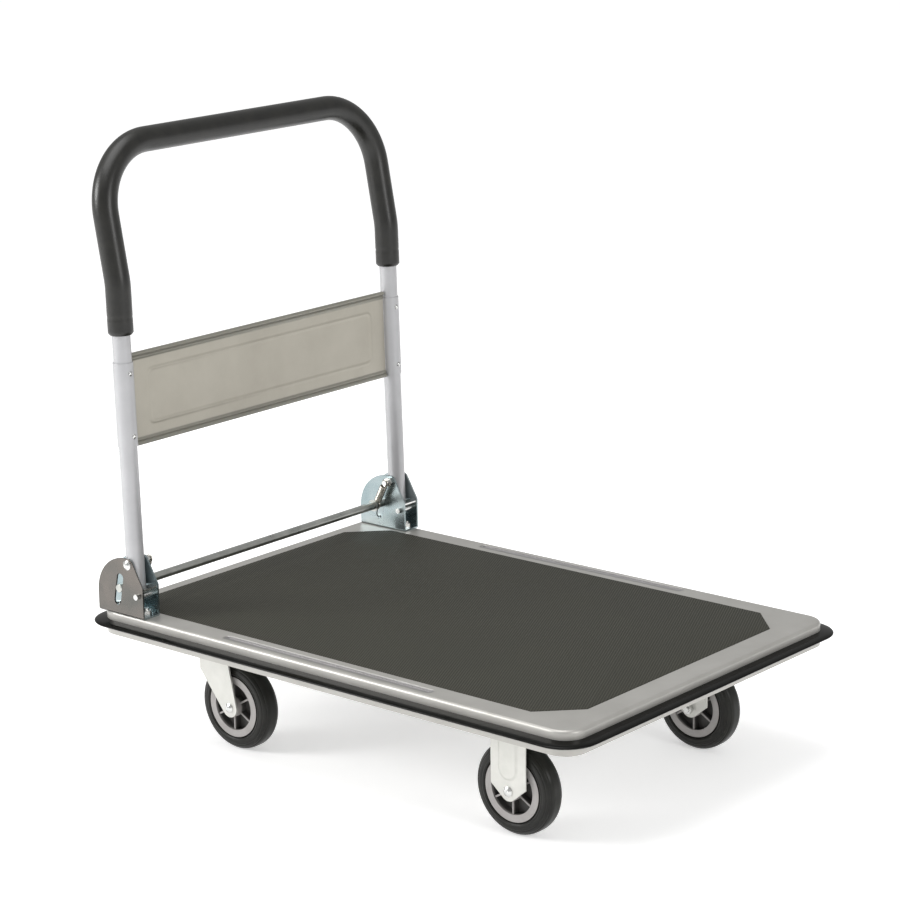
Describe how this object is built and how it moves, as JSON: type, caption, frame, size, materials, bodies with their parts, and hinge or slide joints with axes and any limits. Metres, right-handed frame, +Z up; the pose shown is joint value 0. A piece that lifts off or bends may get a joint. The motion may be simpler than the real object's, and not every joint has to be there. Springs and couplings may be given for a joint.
{
  "type": "folding platform cart",
  "caption": "Flat load deck with a black mat on fixed and swivel casters, with a U-shaped push handle that folds down onto the deck.",
  "frame": {"origin": "on the floor, under the middle of the deck", "axes": "+X to the front of the cart, away from the handle; +Y to its left; +Z up"},
  "size_m": [0.866, 0.606, 0.8525],
  "materials": {
    "deck_paint": "satin silver paint",
    "mat_rubber": "matt, fine diamond ribs",
    "bumper_vinyl": "glossy black vinyl",
    "frame_paint": "satin silver paint",
    "tube_paint": "satin silver paint",
    "grip_foam": "matt black",
    "panel_paint": "satin warm grey",
    "tyre_rubber": "black rubber",
    "hub_plastic": "grey moulded",
    "ball_steel": "polished",
    "spring_steel": "bright wire",
    "zinc_plate": "bright zinc plated"
  },
  "bodies": {
    "deck": {"bracket_bolts": "zinc_plate", "bracket_left": "zinc_plate", "bracket_nuts": "zinc_plate", "bracket_right": "zinc_plate", "bumper_strip": "bumper_vinyl", "caster_bolts": "zinc_plate", "caster_nuts": "zinc_plate", "deck_mat": "mat_rubber", "deck_pan": "deck_paint", "front_channel": "frame_paint", "front_left_axle_bolt": "zinc_plate", "front_left_axle_nut": "zinc_plate", "front_left_axle_sleeve": "zinc_plate", "front_left_fork": "zinc_plate", "front_right_axle_bolt": "zinc_plate", "front_right_axle_nut": "zinc_plate", "front_right_axle_sleeve": "zinc_plate", "front_right_fork": "zinc_plate", "pivot_bolt_left": "zinc_plate", "pivot_bolt_right": "zinc_plate", "pivot_nuts": "zinc_plate", "rear_channel": "frame_paint", "rear_left_king_nut": "zinc_plate", "rear_left_king_pin": "zinc_plate", "rear_left_plate": "zinc_plate", "rear_right_king_nut": "zinc_plate", "rear_right_king_pin": "zinc_plate", "rear_right_plate": "zinc_plate", "rib_left": "frame_paint", "rib_right": "frame_paint", "spring_left": "spring_steel", "spring_right": "spring_steel", "stop_plate_left": "zinc_plate", "stop_plate_right": "zinc_plate"},
    "handle": {"handle_tube": "tube_paint", "handle_grip": "grip_foam", "back_panel": "panel_paint", "panel_rivets": "zinc_plate"},
    "foot_bar": {"foot_bar": "zinc_plate", "bar_clips": "zinc_plate"},
    "rear_left_swivel": {"rear_left_fork": "zinc_plate", "rear_left_balls": "ball_steel", "rear_left_axle_bolt": "zinc_plate", "rear_left_axle_nut": "zinc_plate", "rear_left_axle_sleeve": "zinc_plate"},
    "rear_right_swivel": {"rear_right_fork": "zinc_plate", "rear_right_balls": "ball_steel", "rear_right_axle_bolt": "zinc_plate", "rear_right_axle_nut": "zinc_plate", "rear_right_axle_sleeve": "zinc_plate"},
    "front_left_wheel": {"front_left_tyre": "tyre_rubber", "front_left_hub": "hub_plastic"},
    "front_right_wheel": {"front_right_tyre": "tyre_rubber", "front_right_hub": "hub_plastic"},
    "rear_left_wheel": {"rear_left_tyre": "tyre_rubber", "rear_left_hub": "hub_plastic"},
    "rear_right_wheel": {"rear_right_tyre": "tyre_rubber", "rear_right_hub": "hub_plastic"}
  },
  "joints": [
    {"name": "handle_fold", "type": "hinge", "parent": "deck", "child": "handle", "pos_m": [-0.3495, 0, 0.266], "axis": [0, 1, 0], "range_deg": [0, 99]},
    {"name": "foot_bar_slide", "type": "slide", "parent": "deck", "child": "foot_bar", "axis": [-0.1959, 0, -0.9806], "range_m": [0, 0.018], "stiffness_N_per_m": 1600, "springref_m": -0.02, "deforming": ["spring_left", "spring_right"]},
    {"name": "rear_left_swivel_turn", "type": "hinge", "parent": "deck", "child": "rear_left_swivel", "pos_m": [-0.268, 0.189, 0.156], "axis": [0, 0, 1], "continuous": true},
    {"name": "front_left_roll", "type": "hinge", "parent": "deck", "child": "front_left_wheel", "pos_m": [0.264, 0.197, 0.0625], "axis": [0, 1, 0], "continuous": true},
    {"name": "rear_left_roll", "type": "hinge", "parent": "rear_left_swivel", "child": "rear_left_wheel", "pos_m": [-0.238, 0.189, 0.0625], "axis": [0, 1, 0], "continuous": true},
    {"name": "rear_right_swivel_turn", "type": "hinge", "parent": "deck", "child": "rear_right_swivel", "pos_m": [-0.268, -0.189, 0.156], "axis": [0, 0, 1], "continuous": true},
    {"name": "front_right_roll", "type": "hinge", "parent": "deck", "child": "front_right_wheel", "pos_m": [0.264, -0.197, 0.0625], "axis": [0, 1, 0], "continuous": true},
    {"name": "rear_right_roll", "type": "hinge", "parent": "rear_right_swivel", "child": "rear_right_wheel", "pos_m": [-0.238, -0.189, 0.0625], "axis": [0, 1, 0], "continuous": true}
  ]
}
